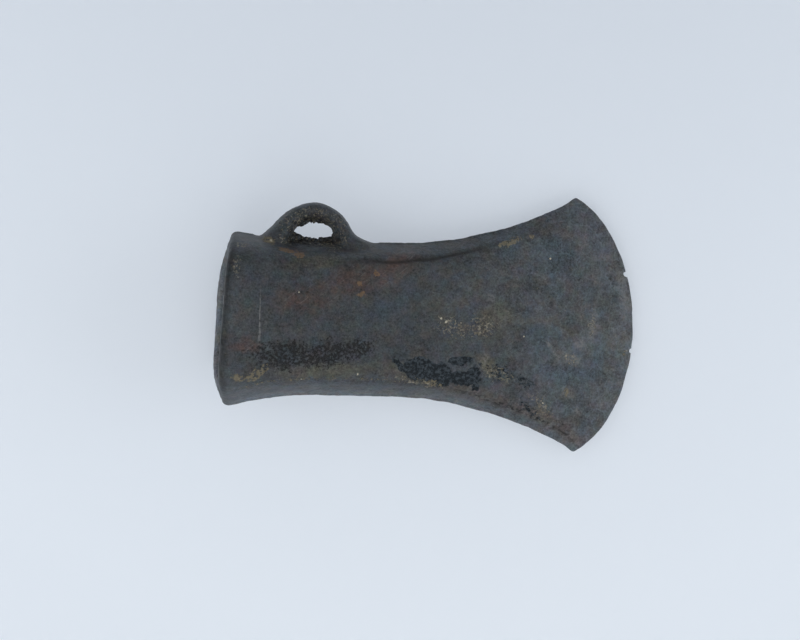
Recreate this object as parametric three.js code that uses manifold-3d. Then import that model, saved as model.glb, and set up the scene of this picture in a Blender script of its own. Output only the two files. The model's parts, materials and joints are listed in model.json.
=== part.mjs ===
// A looped socketed axe head of the Late Bronze Age: one bronze casting from a two-part mould, hollow for
// its haft, with a cord loop on one flank. It lies on a broad face, as a loose axe head does.
//
// Units are millimetres. In the axe's own frame X runs along its axis from the sides of the mouth (x = 0)
// to the cutting edge, Y runs across the blade with the loop at +Y, and Z = 0 is the plane where the two
// moulds met. The casting is then tipped on to the ground: +Z up, origin under the middle of its box.
import * as THREE from 'three';
import { LoftGeometry } from 'three/addons/geometries/LoftGeometry.js';
import { mergeVertices } from 'three/addons/utils/BufferGeometryUtils.js';
import Module from 'manifold-3d';

const { clamp, lerp } = THREE.MathUtils;

// Driving dimensions.
const LENGTH = 102.5; // from the sides of the mouth to the crest of the cutting edge
const WAIST = { start: 23, end: 39, loopHalfWidth: 19.2, farHalfWidth: 19 }; // the flanks run straight here
const RIM = { halfDepth: 16.3, loopHalfWidth: 21.1, farHalfWidth: 22.4, rounding: 0.9 };
const RIM_BOW = { height: 2, skew: 0.2, power: 5, powerSkew: 1, slant: 1.1, fade: 20 }; // plan of the mouth
const DEPTH_FLARE = { reach: 15, rise: 2.1 }; // the faces turn outward at the mouth
const FACE = { sag: 0.35, crown: 0.3, crownAtEdge: 0.12 }; // a little hollow along the axe, domed across it
const FLANK = { inset: 1.5, draft: 0.22 }; // the flanks lean in from the mould joint to the faces
const ARRIS = { atMouth: 5, atBlade: 11 }; // the higher, the crisper the corner between a face and a flank
const BLADE = { halfWidth: 32, shoulderHalfDepth: 3, shoulderReach: 14.5, sharpness: 0.75, bowStart: 42 };
const TIP = { x: 87.9, flick: 0.9, flickReach: 4, rounding: 0.5, slew: 0.5 }; // ends drawn out by hammering
const EDGE_ARC_SHARE = 0.945; // the cutting edge is an oval's arc, out to this share of its half width

const SOCKET = { depth: 62, wall: 3.3, floorHalfWidth: 12, floorHalfDepth: 2.6, lipRounding: 0.9 };
const LOOP = {
  middle: 20.5, springing: 18.9, radius: 9.7, // the outside of the bar is an arc about this point
  mouthSpread: 2.9, mouthSpreadAngle: 27, // its feet spread along the flank, below these angles
  bladeSpread: 3.1, bladeSpreadAngle: 17,
  eyeMiddle: 20.4, eyeHalfLength: 5.6, eyeHeight: 5.8,
  crownHalfDepth: 3.6, footHalfDepth: 4.6,
  sunk: 3.2, // how far its ends run into the flank
};
const REST_CUT = 0.16; // worn flat where the axe touches the ground

// Bites out of the metal: two nicks in the cutting edge and one dent in the upper lip of the mouth.
const BITES = [
  { at: [101.2, 13, 0], size: [1.5, 1, 2] },
  { at: [103, -6.5, 0], size: [1.4, 0.8, 2] },
  { at: [-2.6, -5, 16.6], size: [1.8, 3.2, 1.1] },
];

const OUTSIDE = { ringPoints: 76, flareSteps: 8, bladeSteps: 24 };
const CORE = { ringPoints: 40, flareSteps: 6, taperSteps: 5, clearance: 6 };
const BAR = { ringPoints: 18, steps: 30 };
const CROWDING = 0.13; // draws the points of a ring towards its four arrises

// Height of a unit circle above its middle, at a distance from it.
function ovalHeight(distance) {
  return Math.sqrt(Math.max(0, 1 - distance * distance));
}

// How far a circular arc has climbed, at a distance, when it starts level and climbs rise over reach.
function arcRise(reach, rise, distance) {
  const at = clamp(distance, 0, reach);
  const radius = (reach * reach + rise * rise) / (2 * rise);
  return radius - Math.sqrt(radius * radius - at * at);
}

// How far a corner of this radius has drawn in, at a distance before its end.
function rounding(radius, distance) {
  return radius * (1 - ovalHeight(1 - Math.min(distance / radius, 1)));
}

// Half the width on one flank, before its ends are rounded: side is 1 at the loop and -1 opposite.
function halfWidth(x, side) {
  const rim = side > 0 ? RIM.loopHalfWidth : RIM.farHalfWidth;
  const waist = side > 0 ? WAIST.loopHalfWidth : WAIST.farHalfWidth;
  const flare = arcRise(WAIST.start, rim - waist, WAIST.start - x);
  const splay = arcRise(TIP.x - WAIST.end, BLADE.halfWidth - waist, x - WAIST.end);
  const flick = TIP.flick * Math.pow(Math.max(0, 1 - (TIP.x - x) / TIP.flickReach), 2);
  return waist + flare + splay + flick;
}

// Half the thickness on the centre line, before the lip is rounded.
function halfDepth(x) {
  const shoulder = LENGTH - BLADE.shoulderReach;
  if (x > shoulder) {
    const left = Math.max(LENGTH - x, 0) / BLADE.shoulderReach;
    return BLADE.shoulderHalfDepth * Math.pow(left, BLADE.sharpness);
  }
  const along = x / shoulder;
  const taper = lerp(RIM.halfDepth - DEPTH_FLARE.rise, BLADE.shoulderHalfDepth, along);
  const flare = arcRise(DEPTH_FLARE.reach, DEPTH_FLARE.rise, DEPTH_FLARE.reach - x);
  return taper - FACE.sag * 4 * along * (1 - along) + flare;
}

// The plan of the cutting edge beyond its tips, at a share of the half width: slewed a little off square.
function edgePlan(across) {
  const end = ovalHeight(EDGE_ARC_SHARE);
  const plan = (ovalHeight(EDGE_ARC_SHARE * across) - end) / (1 - end);
  return (LENGTH - TIP.x) * plan - TIP.slew * across;
}

// How strongly a station takes on the plan of the cutting edge.
function bladeShare(x) {
  return Math.pow(Math.max(0, (x - BLADE.bowStart) / (TIP.x - BLADE.bowStart)), 2);
}

// The plan of the mouth: it bulges between its corners, and stands out farther on the flank without a loop.
function rimPlan(across) {
  const power = RIM_BOW.power - RIM_BOW.powerSkew * across;
  const bulge = (1 - Math.pow(Math.abs(across), power)) * (1 - RIM_BOW.skew * across);
  return RIM_BOW.height * bulge + (RIM_BOW.slant * (1 - across)) / 2;
}

// How strongly a station takes on the plan of the mouth.
function rimShare(x) {
  return Math.pow(clamp(1 - x / RIM_BOW.fade, 0, 1), 2);
}

// One ring: domed faces above and below, flanks that lean in from the mould joint, and rounded arrises.
// Its upper half is worked out and then mirrored, so that a ring of no depth closes exactly on itself.
function ring(count, { x, loopSide, farSide, depth, inset, crown, arris, bow }) {
  const upper = [];
  for (let i = 0; i <= count / 2; i++) {
    const turn = (2 * Math.PI * i) / count;
    const angle = turn + CROWDING * Math.sin(4 * turn);
    const up = Math.sin(angle);
    const out = Math.cos(angle);
    const side = out >= 0 ? loopSide : farSide;
    const face = Math.hypot(up, crown * out);
    const flank = Math.abs(out) + (inset / side) * up;
    const reach = Math.pow(Math.pow(face, arris) + Math.pow(flank, arris), -1 / arris);
    const across = reach * out;
    upper.push(new THREE.Vector3(x + bow(across), across * side, reach * up * depth));
  }
  upper[0].z = 0;
  upper[count / 2].z = 0;
  const lower = upper.slice(1, -1).reverse().map((p) => new THREE.Vector3(p.x, p.y, -p.z));
  return [...upper, ...lower];
}

function outsideRing(x, depthShare = 1) {
  const crest = x + bladeShare(x) * edgePlan(0);
  const lip = rounding(RIM.rounding, x);
  const tip = rounding(TIP.rounding, TIP.x - x);
  const depth = halfDepth(crest) - lip;
  const along = x / TIP.x;
  return ring(OUTSIDE.ringPoints, {
    x,
    loopSide: halfWidth(x, 1) - lip - tip,
    farSide: halfWidth(x, -1) - lip - tip,
    depth: depth * depthShare,
    inset: FLANK.inset + FLANK.draft * depth,
    crown: lerp(FACE.crown, FACE.crownAtEdge, along),
    arris: lerp(ARRIS.atMouth, ARRIS.atBlade, Math.sqrt(along)),
    bow: (across) => bladeShare(x) * edgePlan(across) - rimShare(x) * rimPlan(across),
  });
}

// Where the rings stand along the flank: close together at the rounded lip and at the cutting edge.
function stations() {
  const found = [0.1, 0.35, 1].map((share) => RIM.rounding * share);
  for (let i = 1; i <= OUTSIDE.flareSteps; i++) {
    found.push(lerp(RIM.rounding, WAIST.start, i / OUTSIDE.flareSteps));
  }
  for (let i = 1; i < OUTSIDE.bladeSteps; i++) {
    found.push(lerp(WAIST.start, TIP.x, Math.sin((i / OUTSIDE.bladeSteps) * (Math.PI / 2))));
  }
  return found;
}

// Both ends close on the mould joint: the mouth flat, for the socket to open, and the blade to its edge.
function outside() {
  const mouth = [outsideRing(0, 0), outsideRing(0, 0.5), outsideRing(0)];
  const body = stations().map((x) => outsideRing(x));
  return new LoftGeometry([...mouth, ...body, outsideRing(TIP.x, 0)]);
}

// The core that left the socket hollow follows the outside at the thickness of the wall, and nowhere
// outgrows a straight taper from the mouth to a small flat floor.
function coreRing(x) {
  const inside = Math.max(x, 0);
  const along = inside / SOCKET.depth;
  const lip = rounding(SOCKET.lipRounding, inside);
  const size = (outer, mouth, floor) => (
    Math.min(outer - SOCKET.wall, lerp(mouth - SOCKET.wall, floor, along)) + lip
  );
  const depth = size(halfDepth(inside), RIM.halfDepth, SOCKET.floorHalfDepth);
  return ring(CORE.ringPoints, {
    x,
    loopSide: size(halfWidth(inside, 1), RIM.loopHalfWidth, SOCKET.floorHalfWidth),
    farSide: size(halfWidth(inside, -1), RIM.farHalfWidth, SOCKET.floorHalfWidth),
    depth,
    inset: FLANK.inset + FLANK.draft * depth,
    crown: FACE.crown,
    arris: ARRIS.atMouth,
    bow: (across) => -rimShare(inside) * rimPlan(across),
  });
}

function socketCore() {
  const places = [0, 0.25, 0.6, 1].map((share) => SOCKET.lipRounding * share);
  for (let i = 1; i <= CORE.flareSteps; i++) {
    places.push(lerp(SOCKET.lipRounding, WAIST.start, i / CORE.flareSteps));
  }
  for (let i = 1; i <= CORE.taperSteps; i++) {
    places.push(lerp(WAIST.start, SOCKET.depth, i / CORE.taperSteps));
  }
  const sections = [-CORE.clearance, ...places].map((x) => coreRing(x));
  return new LoftGeometry(sections, { capStart: true, capEnd: true });
}

// A point on the outside or inside arc of the loop; the first and last are sunk into the flank.
function arcPoint(middle, reachAlong, reachOut, angle, sunk) {
  const x = middle + reachAlong * Math.cos(angle);
  return new THREE.Vector3(x, LOOP.springing + reachOut * Math.sin(angle) - sunk, 0);
}

// The cord loop: an oval bar bent over the eye, thick at its feet, which run into the flank.
function cordLoop() {
  const sections = [];
  for (let i = 0; i <= BAR.steps; i++) {
    const angle = Math.PI * (i / BAR.steps);
    const towardMouth = angle > Math.PI / 2;
    const elevation = THREE.MathUtils.radToDeg(towardMouth ? Math.PI - angle : angle);
    const spread = towardMouth ? LOOP.mouthSpread : LOOP.bladeSpread;
    const spreadAngle = towardMouth ? LOOP.mouthSpreadAngle : LOOP.bladeSpreadAngle;
    const radius = LOOP.radius + spread * Math.exp(-Math.pow(elevation / spreadAngle, 2));
    const sunk = i === 0 || i === BAR.steps ? LOOP.sunk : 0;
    const outer = arcPoint(LOOP.middle, radius, radius, angle, sunk);
    const inner = arcPoint(LOOP.eyeMiddle, LOOP.eyeHalfLength, LOOP.eyeHeight, angle, sunk);
    const middle = outer.clone().lerp(inner, 0.5);
    const halfBar = outer.clone().sub(middle);
    const depth = lerp(LOOP.footHalfDepth, LOOP.crownHalfDepth, Math.sin(angle));
    const points = [];
    for (let j = 0; j < BAR.ringPoints; j++) {
      const turn = (2 * Math.PI * j) / BAR.ringPoints;
      const point = middle.clone().addScaledVector(halfBar, Math.cos(turn));
      point.z = -depth * Math.sin(turn);
      points.push(point);
    }
    sections.push(points);
  }
  return new LoftGeometry(sections, { capStart: true, capEnd: true });
}

function bite({ at, size }) {
  return new THREE.IcosahedronGeometry(1, 2).scale(...size).translate(...at);
}

const wasm = await Module();
wasm.setup();

// A closed geometry as a solid, without the triangles that collapse where a ring closes on itself.
function solidOf(geometry) {
  const bare = new THREE.BufferGeometry();
  bare.setAttribute('position', geometry.getAttribute('position'));
  bare.setIndex(geometry.getIndex());
  const merged = mergeVertices(bare, 1e-4);
  const corners = merged.getIndex().array;
  const kept = [];
  for (let i = 0; i < corners.length; i += 3) {
    const [a, b, c] = corners.subarray(i, i + 3);
    if (a !== b && b !== c && c !== a) kept.push(a, b, c);
  }
  return new wasm.Manifold(new wasm.Mesh({
    numProp: 3,
    vertProperties: merged.getAttribute('position').array,
    triVerts: new Uint32Array(kept),
  }));
}

function geometryOf(solid) {
  const { vertProperties, triVerts } = solid.getMesh();
  const geometry = new THREE.BufferGeometry();
  geometry.setAttribute('position', new THREE.BufferAttribute(vertProperties, 3));
  geometry.setIndex(new THREE.BufferAttribute(triVerts, 1));
  return geometry;
}

// The angle at which the lower face comes to rest on the lip of the mouth and on the swell of the blade.
function restAngle(geometry) {
  const positions = geometry.getAttribute('position');
  const points = [];
  for (let i = 0; i < positions.count; i++) {
    points.push(new THREE.Vector3().fromBufferAttribute(positions, i));
  }
  const lip = points.reduce((lowest, p) => (p.z < lowest.z ? p : lowest));
  const beyondMiddle = points.filter((p) => p.x > LENGTH / 2);
  return Math.min(...beyondMiddle.map((p) => Math.atan2(p.z - lip.z, p.x - lip.x)));
}

// The casting on the ground, with its two worn rest faces, centred over the origin.
function laidDown(solid) {
  const geometry = geometryOf(solid);
  geometry.rotateY(restAngle(geometry));
  geometry.computeBoundingBox();
  const middle = geometry.boundingBox.getCenter(new THREE.Vector3());
  geometry.translate(-middle.x, -middle.y, -geometry.boundingBox.min.z - REST_CUT);
  const ground = new THREE.BoxGeometry(2 * LENGTH, 2 * LENGTH, LENGTH).translate(0, 0, -LENGTH / 2);
  return geometryOf(solidOf(geometry).subtract(solidOf(ground)));
}

function axeHead() {
  let casting = solidOf(outside()).add(solidOf(cordLoop())).subtract(solidOf(socketCore()));
  for (const taken of BITES) casting = casting.subtract(solidOf(bite(taken)));
  const bronze = new THREE.MeshStandardMaterial({ color: 0x46484a, roughness: 0.6, metalness: 0.25 });
  const mesh = new THREE.Mesh(laidDown(casting), bronze);
  mesh.name = 'axe_head';
  return mesh;
}

const group = new THREE.Group();
group.add(axeHead());

export default group;
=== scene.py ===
"""A looped socketed axe head of bronze, cast hollow for its haft and dark with age, lying on a pale table.

Sizes in the panel are metres. The trees work in millimetres, in the axe's own frame: X runs along its
axis from the sides of the mouth to the cutting edge, Y across the blade with the cord loop at +Y, and
Z through it from the plane where the two moulds met. The casting is then laid down in the part's frame.
"""

import json
import math

import bmesh
import bpy
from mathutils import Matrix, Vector


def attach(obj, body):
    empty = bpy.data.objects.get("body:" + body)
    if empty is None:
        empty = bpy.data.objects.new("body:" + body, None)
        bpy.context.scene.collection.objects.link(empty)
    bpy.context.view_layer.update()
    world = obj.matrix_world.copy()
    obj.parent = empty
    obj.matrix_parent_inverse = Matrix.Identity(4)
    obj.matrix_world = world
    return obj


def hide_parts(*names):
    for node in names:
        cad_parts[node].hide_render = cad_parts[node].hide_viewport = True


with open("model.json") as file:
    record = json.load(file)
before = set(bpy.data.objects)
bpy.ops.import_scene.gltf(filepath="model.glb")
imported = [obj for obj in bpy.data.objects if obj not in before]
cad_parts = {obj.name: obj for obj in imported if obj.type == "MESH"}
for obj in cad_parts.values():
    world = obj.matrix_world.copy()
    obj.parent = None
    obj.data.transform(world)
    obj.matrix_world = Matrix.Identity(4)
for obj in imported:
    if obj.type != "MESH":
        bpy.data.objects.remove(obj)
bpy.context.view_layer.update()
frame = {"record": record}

bl_info = {
    "name": "Looped Socketed Axe Head",
    "version": (1, 0, 0),
    "blender": (4, 5, 0),
    "location": "View3D > Sidebar > Axe Head",
    "description": "Builds a cast bronze axe head with a cord loop, its patina and its soil",
    "category": "Object",
}

BODY = "root"
CAD_NODE = "axe_head"
MM = 0.001
SLAB_DEPTH = 0.1
# How fast the table's painted light changes from front to back and towards the sides, in metres.
PAINTED_GLOW_FALL = 0.16
CAMERA_PLACE = (-0.00602, 0.00006)
CAMERA_TURN = 1.49
SENSOR_WIDTH = 36.0

# The shape of the casting, in millimetres.
EDGE_BULGE = 14.6  # how far the cutting edge stands beyond its two tips
WAIST_START = 23.0
WAIST_END = 39.0
WAIST_LEAN = 0.1
MOUTH_LEAN = 0.65
MOUTH_FLARE_REACH = 15.0
MOUTH_FLARE_RISE = 2.1
LIP_RADIUS = 0.9
SHOULDER_REACH = 14.5  # where the faces start to close on the cutting edge
SHOULDER_HALF_DEPTH = 3.0
EDGE_SHARPNESS = 0.75
FACE_SAG = 0.35
FACE_CROWN = 0.3
EDGE_CROWN = 0.12
FLANK_INSET = 2.6
FLANK_DRAFT = 0.15
MOUTH_ARRIS = 5.0
BLADE_ARRIS = 11.0
BLADE_BOW_START = 42.0
EDGE_ARC_SHARE = 0.945
EDGE_SLEW = 0.5
TIP_FLICK = 0.9
TIP_FLICK_REACH = 4.0
TIP_RADIUS = 1.5
MOUTH_CORNER_RADIUS = 1.8
RIM_BULGE = 2.0
RIM_SKEW = 0.2
RIM_POWER = 5.0
RIM_SLANT = 1.1
RIM_FADE = 20.0
SOCKET_FLOOR_HALF_WIDTH = 12.0
SOCKET_FLOOR_HALF_DEPTH = 2.6
SEAT_DISTANCE = 62.0  # from the sides of the mouth to the floor of the socket
CORE_CLEARANCE = 6.0
CROWDING = 0.13

# The cord loop, in millimetres and degrees.
LOOP_MIDDLE = 20.5
LOOP_SPRINGING = 18.9
MOUTH_FOOT_SPREAD = 4.6
MOUTH_FOOT_ANGLE = 16.0
BLADE_FOOT_SPREAD = 5.3
BLADE_FOOT_ANGLE = 6.5
EYE_MIDDLE = 20.4
EYE_HALF_LENGTH = 5.6
EYE_HEIGHT = 5.8
FOOT_SPREAD_DEPTH = 1.0
LOOP_SUNK = 3.2


def haft_seat():
    """The bottom of the socket and the way out of it, from the record."""
    mounts = frame["record"]["mounts"]
    seat = next(mount for mount in mounts if mount["name"] == "haft_seat")
    return Vector(seat["pos_m"]), Vector(seat["axis"])


# ---------------------------------------------------------------------------------------------------
# Node trees as Python expressions
# ---------------------------------------------------------------------------------------------------


class Wire:
    """An output of a node. Sums of wires and numbers add their Math nodes."""

    def __init__(self, tree, socket):
        self.tree = tree
        self.socket = socket

    def math(self, operation, *others, swap=False):
        terms = [self, *others]
        if swap:
            terms.reverse()
        return self.tree.add("ShaderNodeMath", {"operation": operation}, dict(enumerate(terms)))

    def __add__(self, other):
        return self.math("ADD", other)

    def __sub__(self, other):
        return self.math("SUBTRACT", other)

    def __mul__(self, other):
        return self.math("MULTIPLY", other)

    def __truediv__(self, other):
        return self.math("DIVIDE", other)

    def __pow__(self, other):
        return self.math("POWER", other)

    def __rsub__(self, other):
        return self.math("SUBTRACT", other, swap=True)

    def __rtruediv__(self, other):
        return self.math("DIVIDE", other, swap=True)

    def __neg__(self):
        return self.math("MULTIPLY", -1.0)

    def __abs__(self):
        return self.math("ABSOLUTE")

    __radd__ = __add__
    __rmul__ = __mul__

    def least(self, other):
        return self.math("MINIMUM", other)

    def most(self, other):
        return self.math("MAXIMUM", other)

    def between(self, low, high):
        return self.most(low).least(high)

    def root(self):
        return self.most(0.0).math("SQRT")

    def centred(self):
        """Noise from 0 to 1 as a push from -1 to 1."""
        return self.math("MULTIPLY_ADD", 2.0, -1.0)

    def sine(self):
        return self.math("SINE")

    def cosine(self):
        return self.math("COSINE")

    def rise(self, low, high):
        """0 below low, 1 above high and smooth between them. It falls instead where low is the larger."""
        return self.tree.add(
            "ShaderNodeMapRange",
            {"interpolation_type": "SMOOTHSTEP"},
            {"Value": self, "From Min": low, "From Max": high},
        )


class Tree:
    """A node tree in the making."""

    def __init__(self, nodes):
        self.nodes = nodes

    @staticmethod
    def pick(sockets, key):
        if isinstance(key, int):
            return sockets[key]
        return next((socket for socket in sockets if socket.identifier == key), None) or sockets[key]

    def add(self, kind, settings=None, sockets=None, out=0):
        """A node of this kind, with its settings made first, as the wire from one of its outputs."""
        node = self.nodes.nodes.new(kind)
        for name, value in (settings or {}).items():
            setattr(node, name, value)
        for key, value in (sockets or {}).items():
            socket = self.pick(node.inputs, key)
            for one in value if isinstance(value, list) else [value]:
                if isinstance(one, Wire):
                    self.nodes.links.new(one.socket, socket)
                else:
                    socket.default_value = one
        return Wire(self, self.pick(node.outputs, out)) if node.outputs else node

    def combine(self, x, y, z):
        return self.add("ShaderNodeCombineXYZ", None, {"X": x, "Y": y, "Z": z})

    def position(self):
        return self.add("GeometryNodeInputPosition")

    def moved(self, geometry, position):
        return self.add("GeometryNodeSetPosition", None, {"Geometry": geometry, "Position": position})

    def parts(self, vector):
        node = self.add("ShaderNodeSeparateXYZ", None, {"Vector": vector}).socket.node
        return [Wire(self, socket) for socket in node.outputs]

    def vector(self, operation, *terms, out=0):
        return self.add("ShaderNodeVectorMath", {"operation": operation}, dict(enumerate(terms)), out)

    def scaled(self, vector, share):
        return self.add("ShaderNodeVectorMath", {"operation": "SCALE"}, {0: vector, "Scale": share})

    def noise(self, point, size, detail=2.0, roughness=0.5, shift=0.0, out="Fac"):
        """Noise from 0 to 1 with lumps about this many millimetres across."""
        moved = self.vector("ADD", point, (shift, -shift, 2 * shift)) if shift else point
        sockets = {"Vector": moved, "Scale": 1 / size, "Detail": detail, "Roughness": roughness}
        return self.add("ShaderNodeTexNoise", None, sockets, out)

    def cells(self, point, size, feature="F1", out="Distance"):
        """Distance from the middle of cells about this many millimetres across, in cell sizes."""
        sockets = {"Vector": point, "Scale": 1 / size}
        return self.add("ShaderNodeTexVoronoi", {"feature": feature}, sockets, out)

    def warped(self, point, size, reach, shift=0.0):
        """The point pushed about by noise, by up to this many millimetres each way."""
        push = self.noise(point, size, 2.0, 0.55, shift, out="Color")
        centred = self.vector("SUBTRACT", push, (0.5, 0.5, 0.5))
        return self.vector("ADD", point, self.scaled(centred, 2 * reach))

    def blend(self, share, first, second):
        """Two colours mixed by a share."""
        sockets = {"Factor_Float": share, "A_Color": first, "B_Color": second}
        return self.add("ShaderNodeMix", {"data_type": "RGBA"}, sockets, "Result_Color")


def geometry_tree(name, inputs):
    """A geometry tree with these named inputs, as (Tree, {name: Wire})."""
    group = bpy.data.node_groups.new(name, "GeometryNodeTree")
    group.interface.new_socket("Geometry", in_out="OUTPUT", socket_type="NodeSocketGeometry")
    for label, (kind, value) in inputs.items():
        item = group.interface.new_socket(label, in_out="INPUT", socket_type="NodeSocket" + kind)
        if kind != "Material":
            item.default_value = value
    tree = Tree(group)
    node = tree.add("NodeGroupInput").socket.node
    return tree, {label: Wire(tree, node.outputs[label]) for label in inputs}


def tree_output(tree, geometry):
    tree.add("NodeGroupOutput", None, {"Geometry": geometry})


# ---------------------------------------------------------------------------------------------------
# The casting: the same rules as its solid, at a finer pitch
# ---------------------------------------------------------------------------------------------------


def oval_height(distance):
    """Height of a unit circle above its middle, at a distance from it."""
    return (1 - distance * distance).root()


def arc_rise(reach, rise, distance):
    """How far a circular arc that starts level has climbed, when it climbs rise over reach."""
    at = distance.between(0.0, reach)
    radius = (reach * reach + rise * rise) / (2 * rise)
    return radius - (radius * radius - at * at).root()


def rounding(radius, distance):
    """How far a corner of this radius has drawn in, at a distance before its end."""
    return radius * (1 - oval_height(1 - (distance / radius).least(1.0)))


def mixed(first, second, share):
    return first + (second - first) * share


class Form:
    """The sizes of one casting, as wires in millimetres."""

    def __init__(self, sizes):
        self.length = sizes["Length"] / MM
        self.mouth = sizes["Mouth Width"] / MM
        self.waist = sizes["Waist Width"] / MM
        self.blade = sizes["Blade Width"] / MM
        self.mouth_half_depth = sizes["Mouth Depth"] / (2 * MM)
        self.socket_depth = sizes["Socket Depth"] / MM
        self.wall = sizes["Wall"] / MM
        self.tip = self.length - EDGE_BULGE

    def mouth_half(self, side):
        return self.mouth / 2 - MOUTH_LEAN * side

    def half_width(self, x, side):
        """Half the width on one flank: side is 1 at the loop and -1 opposite."""
        waist = self.waist / 2 + WAIST_LEAN * side
        flare = arc_rise(WAIST_START, self.mouth_half(side) - waist, WAIST_START - x)
        splay = arc_rise(self.tip - WAIST_END, self.blade / 2 - waist, x - WAIST_END)
        flick = TIP_FLICK * (1 - (self.tip - x) / TIP_FLICK_REACH).most(0.0) ** 2
        return waist + flare + splay + flick

    def half_depth(self, x):
        """Half the thickness on the centre line, before the lip is rounded."""
        shoulder = self.length - SHOULDER_REACH
        along = (x / shoulder).least(1.0)
        closing = ((self.length - x) / SHOULDER_REACH).between(0.0, 1.0) ** EDGE_SHARPNESS
        taper = mixed(self.mouth_half_depth - MOUTH_FLARE_RISE, SHOULDER_HALF_DEPTH, along)
        flare = arc_rise(MOUTH_FLARE_REACH, MOUTH_FLARE_RISE, MOUTH_FLARE_REACH - x)
        return taper - FACE_SAG * 4 * along * (1 - along) + flare - SHOULDER_HALF_DEPTH * (1 - closing)

    def blade_share(self, x):
        """How strongly a station takes on the plan of the cutting edge."""
        return ((x - BLADE_BOW_START) / (self.tip - BLADE_BOW_START)).most(0.0) ** 2

    def edge_plan(self, across):
        """The plan of the cutting edge beyond its tips, at a share of the half width."""
        end = math.sqrt(1 - EDGE_ARC_SHARE**2)
        plan = (oval_height(EDGE_ARC_SHARE * across) - end) / (1 - end)
        return EDGE_BULGE * plan - EDGE_SLEW * across

    @staticmethod
    def rim_plan(across):
        """The plan of the mouth, which bulges between its corners."""
        bulge = (1 - abs(across) ** (RIM_POWER - across)) * (1 - RIM_SKEW * across)
        return RIM_BULGE * bulge + RIM_SLANT * (1 - across) / 2

    @staticmethod
    def rim_share(x):
        return (1 - x / RIM_FADE).between(0.0, 1.0) ** 2


WELD = 0.002


def tube(tree, rows, points, shape):
    """A closed tube: shape gives a point for each row and each turn about the row."""
    size = {"Size X": rows - 1.0, "Size Y": float(points), "Vertices X": rows, "Vertices Y": points + 1}
    grid = tree.add("GeometryNodeMeshGrid", None, size, "Mesh")
    x, y, _ = tree.parts(tree.position())
    row = (x + (rows - 1) / 2).math("ROUND")
    turn = (y / points + 0.5) * math.tau
    point = shape(row, turn)
    placed = {"Geometry": tree.moved(grid, point), "Distance": WELD}
    merged = tree.add("GeometryNodeMergeByDistance", None, placed)
    return tree.add("GeometryNodeFlipFaces", None, {"Mesh": merged})


def end_share(row, rows):
    """0 on the first and last rows, where a tube closes on its middle, and 1 between them."""
    return row.least(rows - 1 - row).between(0.0, 1.0)


def ring_point(tree, x, turn, half_width, depth, inset, crown, arris, bow, share=1.0):
    """A point of a ring with domed faces, leaning flanks and rounded arrises."""
    angle = turn + CROWDING * (4 * turn).sine()
    up = angle.sine()
    out = angle.cosine()
    half = half_width(out.math("SIGN"))
    face = (up * up + (crown * out) ** 2).root()
    flank = abs(out) + inset / half * abs(up)
    reach = share * (face**arris + flank**arris) ** (-1 / arris)
    across = reach * out
    return tree.combine(x + bow(across), across * half, reach * up * depth)


OUTSIDE_ROWS = 252
OUTSIDE_POINTS = 268
LIP_ROWS = 8


def outside_surface(tree, form):
    """The outside: its mouth is closed by a cap, and its blade closes on a line."""
    body_rows = OUTSIDE_ROWS - 1 - 2 - LIP_ROWS

    def shape(row, turn):
        lip_part = LIP_RADIUS * ((row - 2) / LIP_ROWS).between(0.0, 1.0)
        along = ((row - 2 - LIP_ROWS) / body_rows).between(0.0, 1.0)
        x = lip_part + (form.tip - LIP_RADIUS) * (1 - (1 - along) ** 1.2)
        crest = x + form.blade_share(x) * EDGE_BULGE
        lip = rounding(LIP_RADIUS, x)
        corner = rounding(MOUTH_CORNER_RADIUS, x)
        tip = rounding(TIP_RADIUS, form.tip - x)
        depth = form.half_depth(crest) - lip
        share = (row / 2).between(0.0, 1.0)
        edge = (OUTSIDE_ROWS - 1 - row).between(0.0, 1.0)
        along_axis = x / form.tip
        return ring_point(
            tree,
            x,
            turn,
            half_width=lambda side: form.half_width(x, side) - corner - tip,
            depth=depth * edge,
            inset=FLANK_INSET + FLANK_DRAFT * depth,
            crown=mixed(FACE_CROWN, EDGE_CROWN, along_axis),
            arris=mixed(MOUTH_ARRIS, BLADE_ARRIS, along_axis.root()),
            bow=lambda across: form.blade_share(x) * form.edge_plan(across)
            - form.rim_share(x) * form.rim_plan(across),
            share=share,
        )

    return tube(tree, OUTSIDE_ROWS, OUTSIDE_POINTS, shape)


CORE_ROWS = 112
CORE_POINTS = 120


def socket_core(tree, form):
    """The core that left the socket hollow. It follows the outside and tapers to a small floor."""

    def shape(row, turn):
        along_rows = ((row - 2) / (CORE_ROWS - 4)).between(0.0, 1.0)
        x = form.socket_depth * along_rows**1.4 - CORE_CLEARANCE * (2 - row).between(0.0, 1.0)
        inside = x.most(0.0)
        along = inside / form.socket_depth
        lip = rounding(LIP_RADIUS, inside)

        def fitted(outer, mouth, floor):
            return (outer - form.wall).least(mixed(mouth - form.wall, floor, along)) + lip

        depth = fitted(form.half_depth(inside), form.mouth_half_depth, SOCKET_FLOOR_HALF_DEPTH)
        return ring_point(
            tree,
            x,
            turn,
            half_width=lambda side: fitted(
                form.half_width(inside, side), form.mouth_half(side), SOCKET_FLOOR_HALF_WIDTH
            ),
            depth=depth,
            inset=FLANK_INSET + FLANK_DRAFT * depth,
            crown=FACE_CROWN,
            arris=MOUTH_ARRIS,
            bow=lambda across: -(form.rim_share(inside) * form.rim_plan(across)),
            share=end_share(row, CORE_ROWS),
        )

    return stored(tree, tube(tree, CORE_ROWS, CORE_POINTS, shape), "socket", 1.0)


LOOP_ROWS = 132
LOOP_POINTS = 64


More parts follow.
